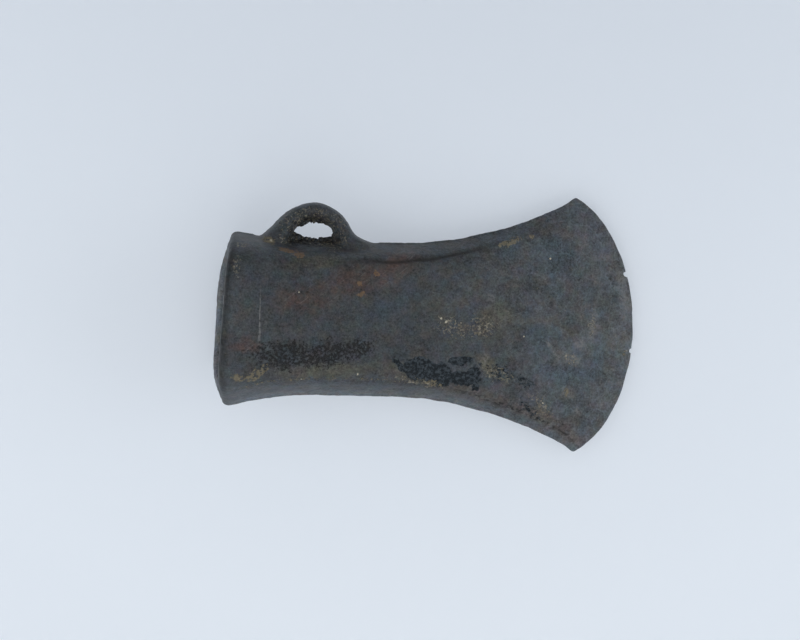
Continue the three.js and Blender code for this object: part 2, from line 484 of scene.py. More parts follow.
def cord_loop(tree, radius, bar_half_depth):
    """The cord loop: an oval bar bent over the eye, whose feet spread and run into the flank."""

    def shape(row, turn):
        along = ((row - 2) / (LOOP_ROWS - 5)).between(0.0, 1.0)
        angle = along * math.pi
        over_mouth = (along - 0.5).math("SIGN").between(0.0, 1.0)
        elevation = 180 * along.least(1 - along)
        spread = mixed(BLADE_FOOT_SPREAD, MOUTH_FOOT_SPREAD, over_mouth)
        spread_angle = mixed(BLADE_FOOT_ANGLE, MOUTH_FOOT_ANGLE, over_mouth)
        outer = radius + spread * (-elevation / spread_angle).math("EXPONENT")
        along_x = angle.cosine()
        along_y = angle.sine()
        sunk = LOOP_SUNK * (2 - row.least(LOOP_ROWS - 1 - row)).between(0.0, 1.0)
        outer_x = LOOP_MIDDLE + outer * along_x
        outer_y = LOOP_SPRINGING + outer * along_y
        inner_x = EYE_MIDDLE + EYE_HALF_LENGTH * along_x
        inner_y = LOOP_SPRINGING + EYE_HEIGHT * along_y
        share = end_share(row, LOOP_ROWS)
        swing = share * turn.cosine() / 2
        x = (outer_x + inner_x) / 2 + (outer_x - inner_x) * swing
        y = (outer_y + inner_y) / 2 + (outer_y - inner_y) * swing - sunk
        depth = bar_half_depth + FOOT_SPREAD_DEPTH * (1 - along_y)
        return tree.combine(x, y, -(depth * share * turn.sine()))

    return tube(tree, LOOP_ROWS, LOOP_POINTS, shape)


FLASH_ROWS = 120
FLASH_POINTS = 12
FLASH_MIDDLE = (20.1, 21.5)
FLASH_HALF_LENGTH = 4.95
FLASH_HEIGHT = 2.25
FLASH_DROP = 1.75
FLASH_RAGGEDNESS = 0.55
FLASH_ROOT = 3.2
FLASH_HALF_DEPTH = 0.42


def eye_flash(tree):
    """Metal that ran between the moulds and half filled the eye: a thin ragged fin."""

    def shape(row, turn):
        angle = row / (FLASH_ROWS - 1) * math.tau
        out = angle.cosine()
        up = angle.sine()
        height = mixed(FLASH_DROP, FLASH_HEIGHT, up.rise(-0.05, 0.05))
        fullness = mixed(1.35, 2.3, out.rise(-0.7, 0.1))
        spread = (abs(out) / FLASH_HALF_LENGTH) ** fullness + (abs(up) / height) ** fullness
        outline = spread ** (-1 / fullness)
        around = tree.combine(5 * out, 3 * up, 0.0)
        ragged = tree.noise(around, 0.9, 2.0, 0.6, 3.7) - 0.5
        edge = outline + FLASH_RAGGEDNESS * 2 * ragged
        section = (1 - turn.cosine()) / 2
        reach = edge + FLASH_ROOT * section
        depth = FLASH_HALF_DEPTH * turn.sine() * (0.4 + section)
        return tree.combine(FLASH_MIDDLE[0] + reach * out, FLASH_MIDDLE[1] + reach * up, depth)

    return tube(tree, FLASH_ROWS, FLASH_POINTS, shape)


# Bites out of the metal: where each one is, and its half sizes, in millimetres.
BITES = (
    ((101.3, 13.2, 0.0), (1.7, 0.9, 2.2)),
    ((102.95, -6.3, 0.0), (1.3, 0.9, 2.0)),
    ((-2.6, -5.0, 16.6), (1.8, 3.2, 1.1)),
)


def bite(tree, middle, half_sizes):
    """A rough lump that takes a bite out of the metal."""
    ball = tree.add("GeometryNodeMeshIcoSphere", None, {"Radius": 1.0, "Subdivisions": 4}, "Mesh")
    point = tree.position()
    swell = 0.8 + 0.4 * tree.noise(point, 0.7, 2.0, 0.6, middle[1])
    rough = tree.moved(ball, tree.scaled(point, swell))
    sockets = {"Geometry": rough, "Translation": middle, "Scale": half_sizes}
    return tree.add("GeometryNodeTransform", None, sockets)


def joined_or_cut(tree, operation, sockets):
    settings = {"operation": operation, "solver": "MANIFOLD"}
    return tree.add("GeometryNodeMeshBoolean", settings, sockets, "Mesh")


def together(tree, *meshes):
    return joined_or_cut(tree, "UNION", {"Mesh 2": list(meshes)})


def cut(tree, mesh, *cutters):
    return joined_or_cut(tree, "DIFFERENCE", {"Mesh 1": mesh, "Mesh 2": list(cutters)})


JOIN_REACH = 1.6
JOIN_PASSES = 16


def softened_join(tree, casting, outside, loop):
    """The loop's feet run into the flank with a small fillet."""
    distances = []
    for surface in (outside, loop):
        sockets = {"Geometry": surface}
        distances.append(tree.add("GeometryNodeProximity", None, sockets, "Distance"))
    near_both = distances[0].most(distances[1]).rise(JOIN_REACH, 0.3 * JOIN_REACH)
    smooth = blurred(tree, tree.position(), JOIN_PASSES, near_both)
    return tree.moved(casting, smooth)


def blurred(tree, value, passes, weight=1.0):
    sockets = {"Value": value, "Iterations": passes, "Weight": weight}
    return tree.add("GeometryNodeBlurAttribute", {"data_type": "FLOAT_VECTOR"}, sockets)


def stored(tree, geometry, name, value, kind="FLOAT"):
    sockets = {"Geometry": geometry, "Name": name, "Value": value}
    return tree.add("GeometryNodeStoreNamedAttribute", {"data_type": kind, "domain": "POINT"}, sockets)


# ---------------------------------------------------------------------------------------------------
# Where the marks of age are, and where shade and highlights are painted. The relief and the patina both read
# these.
# ---------------------------------------------------------------------------------------------------

# Each mark is one or more ovals on the upper face: middle and half sizes in millimetres, turn in degrees.
FLAKED = (
    ((41.6, -11.0), (2.6, 0.7), -38),
    ((47.0, -12.0), (4.7, 3.2), -8),
    ((52.6, -13.4), (2.9, 3.2), 0),
    ((58.0, -14.1), (4.6, 1.8), 0),
    ((60.7, -12.6), (1.7, 1.7), 0),
    ((57.0, -9.6), (3.4, 1.1), 6),
    ((61.4, -16.2), (1.0, 1.0), 0),
)
FLAKE_SCATTER = (
    ((67.5, -12.3), (4.6, 2.0), -18),
    ((73.6, -14.6), (3.2, 1.4), -22),
    ((62.0, -10.8), (2.2, 0.9), 0),
    ((75.5, -21.5), (5.0, 1.3), -38),
    ((84.6, -16.6), (0.5, 0.7), 0),
)
PITTED = (
    ((13.5, -9.2), (10.0, 3.8), 4),
    ((23.0, -8.6), (9.5, 3.6), 7),
    ((31.0, -7.0), (5.5, 1.8), 12),
)
REDDENED = (
    ((17.5, 4.6), (8.0, 3.4), 12),
    ((29.0, 9.0), (9.0, 3.8), 24),
    ((39.0, 12.6), (8.5, 3.4), 26),
    ((3.8, -7.2), (3.6, 1.9), 0),
)
BLUED = (
    ((68.6, 18.8), (3.4, 2.4), 20),
    ((80.5, 17.0), (6.0, 6.0), 40),
    ((77.0, -3.7), (5.2, 4.2), 0),
    ((85.0, -12.5), (9.0, 3.0), 0),
    ((93.5, -8.0), (2.2, 7.0), 0),
    ((38.0, 3.0), (7.0, 2.6), 20),
)
BUFF_STAIN = (
    ((42.5, -12.8), (5.2, 2.0), -22),
    ((25.0, -12.8), (16.0, 1.9), 3),
    ((63.8, -10.6), (2.0, 3.2), 30),
    ((66.0, 2.0), (5.0, 4.0), 0),
    ((20.0, 13.8), (7.0, 1.8), 4),
)
SOILED = (
    ((69.4, 20.2), (3.8, 0.9), 20),
    ((75.0, 22.0), (0.8, 0.8), 0),
    ((1.6, -14.9), (1.9, 1.0), 0),
    ((6.2, -13.8), (3.6, 1.5), 32),
    ((9.0, 18.9), (1.8, 1.2), -30),
    ((84.9, -17.0), (0.9, 1.2), 0),
    ((50.6, -15.3), (2.2, 0.8), -10),
    ((101.0, -6.9), (1.2, 1.4), 0),
)
SPECKLED = (
    ((55.0, -1.4), (5.4, 3.8), -15),
    ((62.0, -1.0), (5.4, 3.4), 0),
    ((0.8, 11.8), (1.4, 3.6), 0),
    ((19.5, 24.0), (9.0, 3.2), 0),
    ((24.5, 18.3), (4.0, 2.0), 0),
    ((86.0, -8.4), (2.8, 1.9), 0),
    ((91.6, 0.4), (1.3, 4.6), -6),
    ((67.0, -13.0), (5.4, 2.4), -18),
    ((46.0, -15.0), (7.0, 1.0), -10),
    ((2.4, 17.4), (2.6, 0.9), 0),
    ((78.5, -20.5), (5.0, 2.4), -40),
)
PALE = (
    ((88.3, -5.0), (1.5, 1.9), 20),
    ((91.6, 0.0), (1.1, 4.2), -8),
    ((86.0, -8.6), (3.0, 1.5), -20),
    ((80.4, -5.6), (0.5, 1.6), 35),
    ((82.0, -8.0), (0.6, 1.8), 30),
    ((88.5, -21.6), (1.4, 0.7), 20),
    ((84.9, -17.1), (1.1, 1.4), 0),
    ((99.5, 9.5), (1.3, 6.5), 8),
    ((64.6, 6.2), (1.2, 1.0), 0),
    ((63.5, -8.8), (0.9, 1.2), 0),
)
# Single bright grains: where each one is, and its radius.
GRAINS = (
    ((31.2, -13.4), 0.5),
    ((17.3, -14.9), 0.35),
    ((79.8, 16.5), 0.4),
    ((51.8, 0.7), 0.4),
    ((53.2, -0.2), 0.5),
    ((73.3, -3.3), 0.32),
    ((78.9, -19.8), 0.35),
    ((16.0, 6.2), 0.35),
    ((9.6, 18.6), 0.5),
    ((101.0, -6.3), 0.5),
)
RUSTY_SOIL = (
    ((13.6, 16.3), (2.6, 0.8), -8),
    ((16.2, 15.4), (1.4, 0.9), 0),
    ((35.2, 11.2), (0.9, 0.7), 0),
    ((31.6, 6.2), (1.3, 0.7), 20),
    ((31.0, 8.6), (0.6, 0.5), 0),
)


def oval(x, y, middle, half_sizes, turn=0.0):
    """1 in the middle of an oval on the face, 0 at its rim and less beyond it."""
    dx = x - middle[0]
    dy = y - middle[1]
    cosine = math.cos(math.radians(turn))
    sine = math.sin(math.radians(turn))
    along = (dx * cosine + dy * sine) / half_sizes[0]
    across = (dy * cosine - dx * sine) / half_sizes[1]
    return 1 - (along * along + across * across).root()


def strongest(wires):
    first, *rest = wires
    for one in rest:
        first = first.most(one)
    return first


class Marks:
    """The marks of age on the axe, and the painted shade and highlights, each from 0 to 1, at a point in
    millimetres.

    Margins are how far in the point is from the lip, from the nearer flank and from the cutting edge.
    """

    def __init__(self, tree, point, margins):
        self.tree = tree
        self.point = point
        self.x, self.y, self.z = tree.parts(point)
        self.from_lip, self.from_side, self.from_edge = tree.parts(margins)
        self.upper = self.z.rise(0.0, 1.0)

    def ovals(self, shapes, low, high, lumps=2.0, raggedness=1.0, shift=0.0):
        """These ovals with a ragged outline, on the upper face alone."""
        warped = self.tree.warped(self.point, lumps, raggedness, shift)
        x, y, _ = self.tree.parts(warped)
        return strongest(oval(x, y, *shape) for shape in shapes).rise(low, high) * self.upper

    def noise(self, size, detail=2.0, roughness=0.5, shift=0.0):
        return self.tree.noise(self.point, size, detail, roughness, shift)

    def sprinkled(self, density, size, shift, least=0.68, most=0.44):
        """Specks that grow more frequent with a density, from none at 0 to most of the ground at 1."""
        bar = mixed(least, most, density)
        return (self.noise(size, 4.0, 0.75, shift) - bar).rise(-0.01, 0.07) * density.rise(0.0, 0.1)

    def flaked(self):
        lobes = self.ovals(FLAKED, -0.03, 0.1, 1.4, 0.9, 5.1)
        crumbs = self.ovals(FLAKE_SCATTER, -0.4, 0.6, 2.0, 1.4, 2.7)
        return lobes.most(self.sprinkled(crumbs, 0.9, 21.0, 0.66, 0.47))

    def pitted(self):
        """The pits themselves, in a band along the lower side of the face."""
        return self.sprinkled(self.ovals(PITTED, -0.5, 0.6, 3.0, 1.8, 8.4), 0.7, 13.0, 0.66, 0.46)

    def eye_band(self):
        """The gritty hollow side of the loop, round its eye."""
        ring = oval(self.x, self.y, (20.1, 20.6), (9.6, 7.4))
        return ring.rise(-0.05, 0.15) * self.y.rise(16.0, 18.5)

    def eye_depth(self):
        """Painted shade on the walls of the eye and just below it, where the loop shades them."""
        return oval(self.x, self.y, (19.6, 19.6), (6.2, 5.6)).rise(0.0, 0.16) * self.y.rise(17.2, 18.4)

    def crease(self):
        """The line where the upper face meets the flank on the side of the loop: a shallow groove, and
        painted shade in the patina.
        """
        strip = mixed(4.9, 3.4, self.x.rise(34.0, 66.0)) + 0.3 * self.noise(4.0, 1.0, 0.5, 12.0).centred()
        line = abs(self.from_side - strip).rise(0.85, 0.1) * self.y.rise(5.0, 8.0)
        return line * self.x.rise(25.0, 38.0) * self.x.rise(68.0, 56.0) * self.upper

    def far_crease(self):
        """The rough dirty line where the upper face meets the other flank."""
        strip = mixed(4.3, 3.0, self.x.rise(30.0, 76.0)) + 0.4 * self.noise(3.0, 2.0, 0.5, 44.0).centred()
        line = abs(self.from_side - strip).rise(0.9, 0.1) * self.y.rise(-5.0, -8.0)
        return line * self.from_lip.rise(2.0, 6.0) * self.upper

    def browned(self):
        """A brown strip along the same flank, towards the blade."""
        strip = abs(self.from_side - 4.0).rise(3.0, 0.5) * self.y.rise(-8.0, -13.0)
        return strip * self.x.rise(40.0, 60.0) * self.x.rise(98.0, 84.0)

    def seam(self):
        """The filed-down seam where the moulds met, on both flanks."""
        return abs(self.z).rise(0.8, 0.1) * self.noise(6.0, 2.0, 0.6, 2.2).rise(0.3, 0.6)

    def mouth_ridge(self):
        """A thin low ridge across the upper face just inside the mouth, painted pale as a highlight."""
        wander = 0.3 * self.noise(5.0, 2.0, 0.6, 33.0).centred()
        width = mixed(0.5, 0.22, self.y.rise(-6.0, 0.0))
        line = (abs(self.x - 6.6 + wander) / width).rise(1.0, 0.2)
        line = line * self.y.rise(-7.5, -4.5) * self.y.rise(9.0, 3.0)
        return line * self.noise(0.9, 2.0, 0.6, 31.0).rise(0.3, 0.62) * self.upper

    def soiled(self):
        """Clumps of earth held in the hollows."""
        clumps = self.ovals(SOILED, -0.4, 0.5, 1.4, 1.0, 6.6)
        foot = self.far_crease() * self.x.rise(50.0, 40.0) * 0.55
        return self.sprinkled(clumps.most(foot), 0.8, 17.0, 0.68, 0.43)

    def speckled(self):
        """Loose pale specks of it."""
        specks = self.ovals(SPECKLED, -0.5, 0.7, 2.0, 1.6, 12.6)
        specks = specks.most(0.8 * self.eye_band()).most(0.16 * self.upper)
        return self.sprinkled(specks, 0.62, 57.0, 0.7, 0.5)

    def grains(self):
        """Single bright grains of grit."""
        found = strongest(oval(self.x, self.y, middle, (radius, radius)) for middle, radius in GRAINS)
        return (found + 1.2 * self.noise(0.7, 2.0, 0.6, 3.0).centred()).rise(0.25, 0.6) * self.upper


def margins_of(tree, form, point):
    x, y, _ = tree.parts(point)
    half = form.half_width(x, y.math("SIGN"))
    across = (y / half).between(-1.0, 1.0)
    from_lip = x + form.rim_share(x) * form.rim_plan(across)
    return tree.combine(from_lip, half - abs(y), form.tip + form.edge_plan(across) - x)


def relief(tree, casting, form, unevenness):
    """The hand-made unevenness, seams, crust and pits of the casting, pushed along its normals."""
    point = tree.position()
    normal = tree.add("GeometryNodeInputNormal")
    margins = margins_of(tree, form, point)
    marks = Marks(tree, point, margins)
    casting = stored(tree, casting, "place", point, "FLOAT_VECTOR")
    casting = stored(tree, casting, "margins", margins, "FLOAT_VECTOR")
    thin = marks.from_edge.rise(0.0, 8.0) * 0.75 + 0.25
    swell = marks.noise(11.0, 1.0, 0.5, 1.3).centred() * 0.26
    ripple = marks.noise(2.6, 3.0, 0.55, 7.9).centred() * 0.12
    grit = marks.noise(1.1, 3.0, 0.65, 3.1).centred() * (0.07 + 0.5 * marks.eye_band())
    lip = marks.noise(1.6, 2.0, 0.6, 27.0).centred() * 0.2 * marks.from_lip.rise(1.6, 0.0)
    hollows = -0.2 * marks.flaked() - 0.12 * marks.pitted() - 0.3 * marks.crease()
    hollows = hollows - 0.12 * marks.far_crease() * marks.noise(0.9, 2.0, 0.6, 23.0)
    ridges = 0.16 * marks.seam() + 0.12 * marks.mouth_ridge() + 0.1 * marks.soiled() + 0.15 * marks.grains()
    height = thin * unevenness * (swell + ripple + grit + lip) + thin * hollows + ridges
    offset = tree.scaled(normal, height)
    worked = tree.add("GeometryNodeSetPosition", None, {"Geometry": casting, "Offset": offset})
    position = tree.position()
    sag = tree.vector("SUBTRACT", blurred(tree, position, 7), position)
    hollow = tree.vector("DOT_PRODUCT", sag, tree.add("GeometryNodeInputNormal"), out="Value")
    return stored(tree, worked, "hollow", hollow)


def laid_down(tree, casting):
    """The casting as it lies, in metres in the part's frame, flat where it touches the ground."""
    seat, axis = haft_seat()
    angle = math.atan2(axis.z, -axis.x)
    turn = tree.add("GeometryNodeTransform", None, {"Geometry": casting, "Scale": (MM, MM, MM)})
    moved = {"Geometry": turn, "Translation": (-SEAT_DISTANCE * MM, 0.0, 0.0)}
    turned = {"Geometry": tree.add("GeometryNodeTransform", None, moved), "Rotation": (0.0, angle, 0.0)}
    put = {"Geometry": tree.add("GeometryNodeTransform", None, turned), "Translation": tuple(seat)}
    lying = tree.add("GeometryNodeTransform", None, put)
    x, y, z = tree.parts(tree.position())
    flat = tree.combine(x, y, z.most(0.0))
    return tree.moved(lying, flat)


def labelled(sizes):
    """The sizes of the casting by the names of the tree's inputs, such as Mouth Width."""
    return {name.replace("_", " ").title(): getattr(sizes, name) for name in sizes.__annotations__}


def casting_tree(sizes):
    inputs = {label: ("Float", value) for label, value in labelled(sizes).items()}
    inputs["Material"] = ("Material", None)
    tree, wires = geometry_tree("axe casting", inputs)
    form = Form(wires)
    outside = outside_surface(tree, form)
    loop = cord_loop(tree, wires["Loop Radius"] / MM, wires["Loop Bar Depth"] / (2 * MM))
    solid = together(tree, outside, loop, eye_flash(tree))
    bites = [bite(tree, *one) for one in BITES]
    hollow = cut(tree, solid, socket_core(tree, form), *bites)
    joined = softened_join(tree, hollow, outside, loop)
    worked = relief(tree, joined, form, wires["Unevenness"])
    lying = laid_down(tree, worked)
    smooth = tree.add("GeometryNodeSetShadeSmooth", None, {"Geometry": lying})
    whole = tree.add("GeometryNodeRealizeInstances", None, {"Geometry": smooth})
    finished = {"Geometry": whole, "Material": wires["Material"]}
    tree_output(tree, tree.add("GeometryNodeSetMaterial", None, finished))
    return tree.nodes


def grown(name, group, values):
    """The plain mesh object that a geometry tree makes from these input values."""
    piece = bpy.data.objects.new(name, bpy.data.meshes.new(name))
    bpy.context.scene.collection.objects.link(piece)
    modifier = piece.modifiers.new("tree", "NODES")
    modifier.node_group = group
    for item in group.interface.items_tree:
        if item.in_out == "INPUT" and item.name in values:
            modifier[item.identifier] = values[item.name]
    depsgraph = bpy.context.evaluated_depsgraph_get()
    mesh = bpy.data.meshes.new_from_object(piece.evaluated_get(depsgraph), depsgraph=depsgraph)
    if not mesh.polygons:
        raise RuntimeError(f"the tree {group.name} made no faces")
    piece.modifiers.remove(modifier)
    piece.data = mesh
    mesh.name = name
    return piece


# ---------------------------------------------------------------------------------------------------
# Materials
# ---------------------------------------------------------------------------------------------------


def new_material(name):
    material = bpy.data.materials.new(name)
    material.use_nodes = True
    material.node_tree.nodes.clear()
    return material, Tree(material.node_tree)


def finish_material(tree, sockets):
    shader = tree.add("ShaderNodeBsdfPrincipled", None, sockets)
    tree.add("ShaderNodeOutputMaterial", None, {"Surface": shader})


def attribute(tree, name, out="Fac"):
    return tree.add("ShaderNodeAttribute", {"attribute_name": name}, None, out)


def hairlines(marks, angle, width, length, shift):
    """Fine lines at an angle on the face, in degrees from the axe's axis."""
    cosine = math.cos(math.radians(angle))
    sine = math.sin(math.radians(angle))
    along = (marks.x * cosine + marks.y * sine) / length
    across = (marks.y * cosine - marks.x * sine) / width
    stretched = marks.tree.combine(along, across, shift)
    return marks.tree.noise(stretched, 1.0, 2.0, 0.6)


class Colours:
    """The colours of the finish as plain tuples."""

    def __init__(self, finish):
        for name in finish.__annotations__:
            setattr(self, name, tuple(getattr(finish, name)))


def tone_and_painted_light(marks):
    """How light the patina is: mottled at several scales, with painted light over it: lighter towards the
    blade and near the cutting edge, painted shade on the loop side by the mouth and on the upper lip, a
    painted highlight on the lower lip and a painted sheen on the far flank.
    """
    tree = marks.tree
    speckle = marks.noise(0.5, 2.0, 0.8, 9.0).centred()
    grain = marks.noise(1.05, 3.0, 0.7, 9.0).centred()
    mottle = marks.noise(3.3, 3.0, 0.65, 14.0).centred()
    broad = marks.noise(13.0, 2.0, 0.5, 4.0).centred()
    warped = tree.warped(marks.point, 2.4, 1.8, 15.0)
    patches = tree.parts(tree.cells(warped, 4.4, out="Color"))[0].centred()
    rims = tree.cells(warped, 4.4, "DISTANCE_TO_EDGE").rise(0.08, 0.0)
    # Painted light: the face grows lighter towards the blade and near the cutting edge, as the light falls
    # there.
    blade = marks.x.rise(40.0, 92.0)
    # Painted shade on the loop side by the mouth and along the upper lip; a painted highlight on the lower
    # lip and a painted sheen along the far flank.
    loop_side_painted_shade = marks.y.rise(2.0, 18.0) * marks.x.rise(70.0, 50.0)
    upper_lip_painted_shade = marks.from_lip.rise(2.4, 0.9) * marks.upper
    lower_lip_painted_highlight = marks.from_lip.rise(3.0, 0.5) * marks.z.rise(1.0, -8.0)
    far_flank_painted_sheen = marks.from_side.rise(2.2, 0.0) * marks.y.rise(-6.0, -12.0) * marks.x.rise(90.0, 60.0)
    edge_painted_light = marks.from_edge.rise(7.0, 0.0)
    # The tone with its painted light and shade, from an even 0.9.
    even = 0.9 + 0.36 * blade - 0.08 * loop_side_painted_shade - 0.4 * upper_lip_painted_shade + 1.2 * lower_lip_painted_highlight
    even = even + 0.8 * far_flank_painted_sheen + 0.25 * edge_painted_light
    mottled = 1.2 * speckle + 0.8 * grain + 0.4 * mottle + 0.3 * broad
    return even * (1 + mottled + (0.08 + 0.14 * blade) * patches + 0.35 * blade * rims)


def patina_colour(marks, hue):
    """The colour of the crust before soil, pits and wear."""
    tree = marks.tree
    cool = marks.noise(4.6, 3.0, 0.6, 25.0).rise(0.42, 0.62)
    warm = marks.noise(3.9, 3.0, 0.6, 37.0).rise(0.45, 0.66)
    colour = tree.blend(0.5 * cool, hue.patina, hue.blue_patina)
    colour = tree.blend(0.55 * warm, colour, hue.brown_patina)
    blued = marks.ovals(BLUED, -0.3, 0.7, 3.0, 2.4, 1.7)
    colour = tree.blend(0.75 * blued, colour, hue.blue_patina)
    reddened = marks.ovals(REDDENED, -0.4, 0.6, 3.0, 2.8, 9.7)
    patches = marks.noise(2.6, 3.0, 0.65, 41.0).rise(0.4, 0.6)
    colour = tree.blend(reddened * (0.4 + 0.5 * patches), colour, hue.red_patina)
    browned = marks.browned() * (0.4 + 0.5 * marks.noise(2.2, 3.0, 0.6, 43.0).rise(0.4, 0.6))
    colour = tree.blend(browned, colour, hue.brown_patina)
    buff = marks.ovals(BUFF_STAIN, -0.4, 0.7, 2.4, 1.8, 3.9)
    colour = tree.blend(0.55 * buff, colour, hue.buff_stain)
    push = tree.vector("SUBTRACT", tree.noise(marks.point, 3.0, 3.0, 0.6, 5.5, "Color"), (0.5, 0.5, 0.5))
    return tree.vector("MULTIPLY", colour, tree.vector("ADD", tree.scaled(push, 0.45), (1.0, 1.0, 1.0)))


def patina_material(finish):
    material, tree = new_material("old_bronze")
    hue = Colours(finish)
    marks = Marks(tree, attribute(tree, "place", "Vector"), attribute(tree, "margins", "Vector"))
    hollow = attribute(tree, "hollow")
    socket = attribute(tree, "socket")
    colour = tree.scaled(patina_colour(marks, hue), tone_and_painted_light(marks))

    lines = hairlines(marks, 84.0, 0.4, 6.0, 4.0).rise(0.56, 0.72) * marks.x.rise(70.0, 92.0)
    scratches = hairlines(marks, 38.0, 0.4, 6.0, 8.0).rise(0.58, 0.7)
    light_lines = (0.4 * lines).most(0.5 * scratches * marks.ovals(REDDENED, -0.2, 0.3))
    colour = tree.blend(0.5 * light_lines, colour, hue.worn)
    pale = marks.ovals(PALE, -0.6, 0.7, 1.0, 1.0, 3.3) * marks.noise(0.8, 3.0, 0.7, 34.0).rise(0.35, 0.65)
    colour = tree.blend(0.6 * pale, colour, hue.worn)

    dirt = hollow.rise(0.01, 0.06) * marks.noise(1.2, 3.0, 0.6, 71.0).rise(0.35, 0.65)
    colour = tree.blend(0.3 * dirt, colour, hue.buff_stain)

    flaked = marks.flaked()
    crystals = marks.noise(0.75, 3.0, 0.75, 51.0).rise(0.42, 0.62)
    bared = tree.blend(0.8 * crystals, hue.bared, hue.blue_patina)
    colour = tree.blend(0.95 * flaked, colour, bared)
    pits = marks.pitted()
    # Painted shade in and below the eye, broken up by noise.
    eye_depth = marks.eye_depth() * marks.noise(1.3, 3.0, 0.7, 15.0).rise(0.62, 0.42)
    broken = marks.noise(1.1, 2.0, 0.6, 23.0).rise(0.55, 0.45)
    rough_line = marks.far_crease() * marks.x.rise(52.0, 62.0) * broken
    # Dark dirt in the pits and on the rough line by the far flank, and painted shade on the line by the loop
    # flank and in the eye.
    dark = strongest((0.8 * pits, 0.65 * marks.crease(), 0.75 * rough_line, 0.9 * eye_depth))
    colour = tree.blend(dark, colour, hue.pit_dirt)

    soil_tone = 0.55 + 0.9 * marks.noise(0.9, 2.0, 0.6, 62.0)
    soil_colour = tree.scaled(hue.soil[:3], soil_tone)
    soil = marks.soiled()
    colour = tree.blend(0.68 * soil, colour, soil_colour)
    specks = marks.speckled()
    bright = marks.noise(1.1, 2.0, 0.7, 72.0).rise(0.45, 0.65)
    colour = tree.blend(0.5 * specks, colour, tree.blend(0.7 * bright, soil_colour, hue.grit))
    rusty = marks.sprinkled(marks.ovals(RUSTY_SOIL, -0.4, 0.5, 1.0, 0.9, 1.1), 0.9, 47.0, 0.66, 0.36)
    colour = tree.blend(0.38 * rusty, colour, hue.rusty_soil)
    # Painted highlight along the ridge inside the mouth, in the pale colour of rubbed metal.
    ridge = marks.mouth_ridge()
    colour = tree.blend(0.65 * ridge, colour, hue.worn)
    grains = marks.grains()
    colour = tree.blend(0.8 * grains, colour, hue.grit)
    # Darker brownish colour inside the socket, from 3 mm past the lip inwards.
    inside = socket * marks.from_lip.rise(3.0, 9.0)
    colour = tree.blend(0.7 * inside, colour, hue.socket_dirt)

    rough = 0.5 + 0.12 * marks.noise(3.0, 2.0, 0.5, 81.0).centred() + 0.3 * soil.most(inside) - 0.1 * ridge
    grain = marks.noise(0.5, 3.0, 0.65, 9.5)
    pocks = marks.noise(1.0, 2.0, 0.6, 19.5).rise(0.42, 0.3)
    height = 0.05 * grain - 0.05 * pocks - 0.1 * pits - 0.05 * flaked + 0.06 * flaked * crystals
    height = height + 0.06 * soil + 0.05 * specks - 0.015 * light_lines
    bump = tree.add("ShaderNodeBump", None, {"Height": height, "Distance": MM, "Strength": 1.0})
    shared = {"Base Color": colour, "Roughness": rough, "Normal": bump}
    crust = tree.add("ShaderNodeBsdfPrincipled", None, shared | {"IOR": 1.4})
    dull = tree.add("ShaderNodeBsdfPrincipled", None, shared | {"Specular IOR Level": 0.1})
    dulled = dark.most(flaked * (1 - crystals)).most(soil)
    whole = tree.add("ShaderNodeMixShader", None, {0: dulled, 1: crust, 2: dull})
    tree.add("ShaderNodeOutputMaterial", None, {"Surface": whole})
    return material


# ---------------------------------------------------------------------------------------------------
# The stage
# ---------------------------------------------------------------------------------------------------


def floor_material(stage):
    """A milky sheet that spreads the shadows softly under its surface, with painted light: it emits light
    though no lamp is under it, brighter in front and at the sides.
    """
    material, tree = new_material("table_sheet")
    place = tree.add("ShaderNodeTexCoord", None, None, "Object")
    x, y, _ = tree.parts(place)
    # Painted light: the sheet emits light, brighter in front and at the sides, standing in for the fall-off
    # of the lamps.
    near = (0.5 - y / PAINTED_GLOW_FALL).between(0.0, 1.0)
    sides = 0.5 * (x / PAINTED_GLOW_FALL) ** 2
    painted_glow = tree.blend((near + sides).between(0.0, 1.0), tuple(stage.far_glow), tuple(stage.near_glow))
    sockets = {
        "Base Color": tuple(stage.floor_colour),
        "Roughness": 0.8,
        "Subsurface Weight": 1.0,
        "Subsurface Radius": (1.0, 1.0, 1.0),
        "Subsurface Scale": stage.floor_milkiness,
        "Specular IOR Level": 0.2,
        "Emission Color": painted_glow,
        "Emission Strength": 1.0,
    }
    finish_material(tree, sockets)
    return material


def make_floor(stage):
    """A thick slab whose top is the ground."""
    mesh = bpy.data.meshes.new("table")
    slab = bmesh.new()
    bmesh.ops.create_cube(slab, size=1.0)
    bmesh.ops.scale(slab, vec=(stage.floor_size, stage.floor_size, SLAB_DEPTH), verts=slab.verts)
    bmesh.ops.translate(slab, vec=(0.0, 0.0, -SLAB_DEPTH / 2), verts=slab.verts)
    slab.to_mesh(mesh)
    slab.free()
    mesh.materials.append(floor_material(stage))
    floor = bpy.data.objects.new("table", mesh)
    bpy.context.scene.collection.objects.link(floor)


def make_light(name, place, size, energy, colour):
    lamp = bpy.data.lights.new(name, "AREA")
    lamp.size = size
    lamp.energy = energy
    lamp.color = colour
    light = bpy.data.objects.new(name, lamp)
    light.location = place
    light.rotation_euler = Vector(place).to_track_quat("Z", "Y").to_euler()
    bpy.context.scene.collection.objects.link(light)


def make_sky(stage):
    world = bpy.data.worlds.new("soft_room")
    world.use_nodes = True
    background = world.node_tree.nodes["Background"]
    background.inputs["Color"].default_value = (*stage.room_colour, 1.0)
    background.inputs["Strength"].default_value = stage.room_light
    bpy.context.scene.world = world


def make_camera(stage):
    lens = bpy.data.cameras.new("camera")
    lens.lens = stage.lens
    lens.sensor_width = SENSOR_WIDTH
    lens.clip_start = 0.01
    camera = bpy.data.objects.new("camera", lens)
    camera.location = (*CAMERA_PLACE, stage.camera_height)
    camera.rotation_euler = (0.0, 0.0, math.radians(CAMERA_TURN))
    bpy.context.scene.collection.objects.link(camera)
    bpy.context.scene.camera = camera


